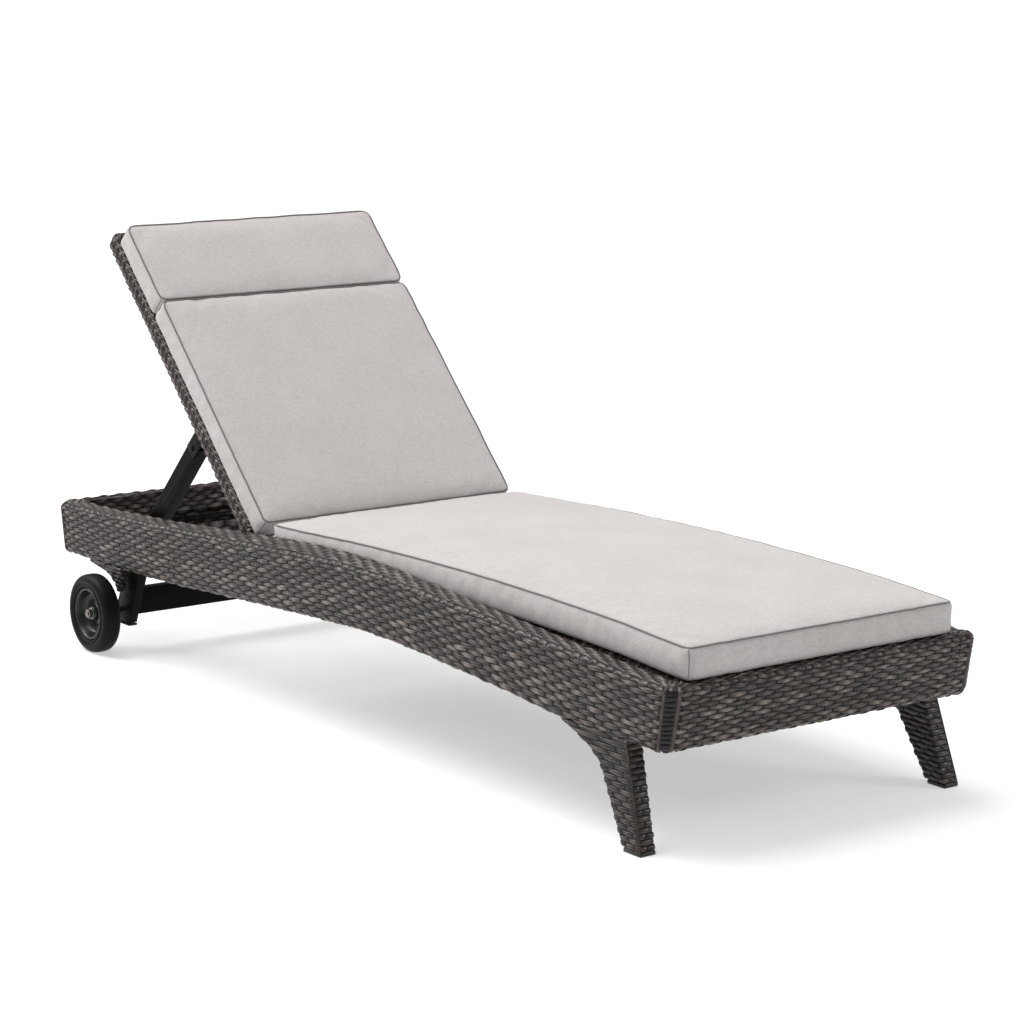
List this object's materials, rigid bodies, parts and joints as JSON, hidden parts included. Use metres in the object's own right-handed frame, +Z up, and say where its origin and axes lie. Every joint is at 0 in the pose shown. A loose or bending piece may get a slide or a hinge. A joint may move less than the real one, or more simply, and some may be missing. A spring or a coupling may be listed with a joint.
{
  "type": "reclining sun lounger",
  "caption": "Woven garden sun lounger on two legs and two wheels, with a cushioned reclining backrest propped in notched racks.",
  "frame": {"origin": "on the ground at the middle of the lounger's footprint", "axes": "+Z up, +Y along the length towards the head end, +X across"},
  "size_m": [0.762, 1.985, 0.8377],
  "materials": {
    "wicker": "woven flat synthetic rattan, grey-brown, satin",
    "fabric": "warm light grey woven outdoor cloth, matte",
    "powder_coat": "dark brown-black powder coat, satin",
    "tyre": "matte black rubber",
    "plastic": "black moulded plastic, satin",
    "zinc": "zinc-plated steel"
  },
  "bodies": {
    "base": {"axle_bolt_left": "zinc", "axle_bolt_right": "zinc", "axle_nut_left": "zinc", "axle_nut_right": "zinc", "deck_tube_front": "powder_coat", "deck_tube_middle": "powder_coat", "deck_tube_rear": "powder_coat", "foot_tube": "powder_coat", "foot_wicker": "wicker", "front_glide_left": "plastic", "front_glide_right": "plastic", "front_leg_tube_left": "powder_coat", "front_leg_tube_right": "powder_coat", "front_leg_wicker_left": "wicker", "front_leg_wicker_right": "wicker", "head_tube": "powder_coat", "head_wicker": "wicker", "hinge_pin_left": "zinc", "hinge_pin_right": "zinc", "hinge_plate_left": "powder_coat", "hinge_plate_right": "powder_coat", "lower_tube_left": "powder_coat", "lower_tube_right": "powder_coat", "notch_rack_left": "powder_coat", "notch_rack_right": "powder_coat", "rear_leg_cap_left": "plastic", "rear_leg_cap_right": "plastic", "rear_leg_tube_left": "powder_coat", "rear_leg_tube_right": "powder_coat", "rear_leg_wicker_left": "wicker", "rear_leg_wicker_right": "wicker", "seat_cushion": "fabric", "seat_deck": "wicker", "side_wicker_left": "wicker", "side_wicker_right": "wicker", "upper_tube_left": "powder_coat", "upper_tube_right": "powder_coat", "wheel_stretcher": "powder_coat"},
    "backrest": {"back_cushion": "fabric", "back_panel": "wicker", "back_tube_bottom": "powder_coat", "back_tube_left": "powder_coat", "back_tube_middle": "powder_coat", "back_tube_right": "powder_coat", "back_tube_top": "powder_coat", "back_wicker_left": "wicker", "back_wicker_right": "wicker", "back_wicker_top": "wicker", "headrest_cushion": "fabric", "prop_bracket_left": "powder_coat", "prop_bracket_right": "powder_coat"},
    "prop": {"prop_bar": "powder_coat", "prop_leg_left": "powder_coat", "prop_leg_right": "powder_coat", "prop_pin_left": "zinc", "prop_pin_right": "zinc"},
    "wheel_left": {"tyre_left": "tyre", "wheel_hub_left": "plastic"},
    "wheel_right": {"tyre_right": "tyre", "wheel_hub_right": "plastic"}
  },
  "joints": [
    {"name": "back_recline", "type": "hinge", "parent": "base", "child": "backrest", "pos_m": [0, 0.29, 0.28], "axis": [1, 0, 0], "range_deg": [-40.7, 20]},
    {"name": "prop_fold", "type": "hinge", "parent": "backrest", "child": "prop", "pos_m": [0, 0.53208, 0.435], "axis": [1, 0, 0], "range_deg": [-39.2, 79.6]},
    {"name": "wheel_left_spin", "type": "hinge", "parent": "base", "child": "wheel_left", "pos_m": [0, 0.778, 0.0785], "axis": [1, 0, 0], "continuous": true},
    {"name": "wheel_right_spin", "type": "hinge", "parent": "base", "child": "wheel_right", "pos_m": [0, 0.778, 0.0785], "axis": [1, 0, 0], "continuous": true}
  ],
  "couplings": [
    {"joint": "prop_fold", "follows": "back_recline", "ratio": -1.95}
  ]
}
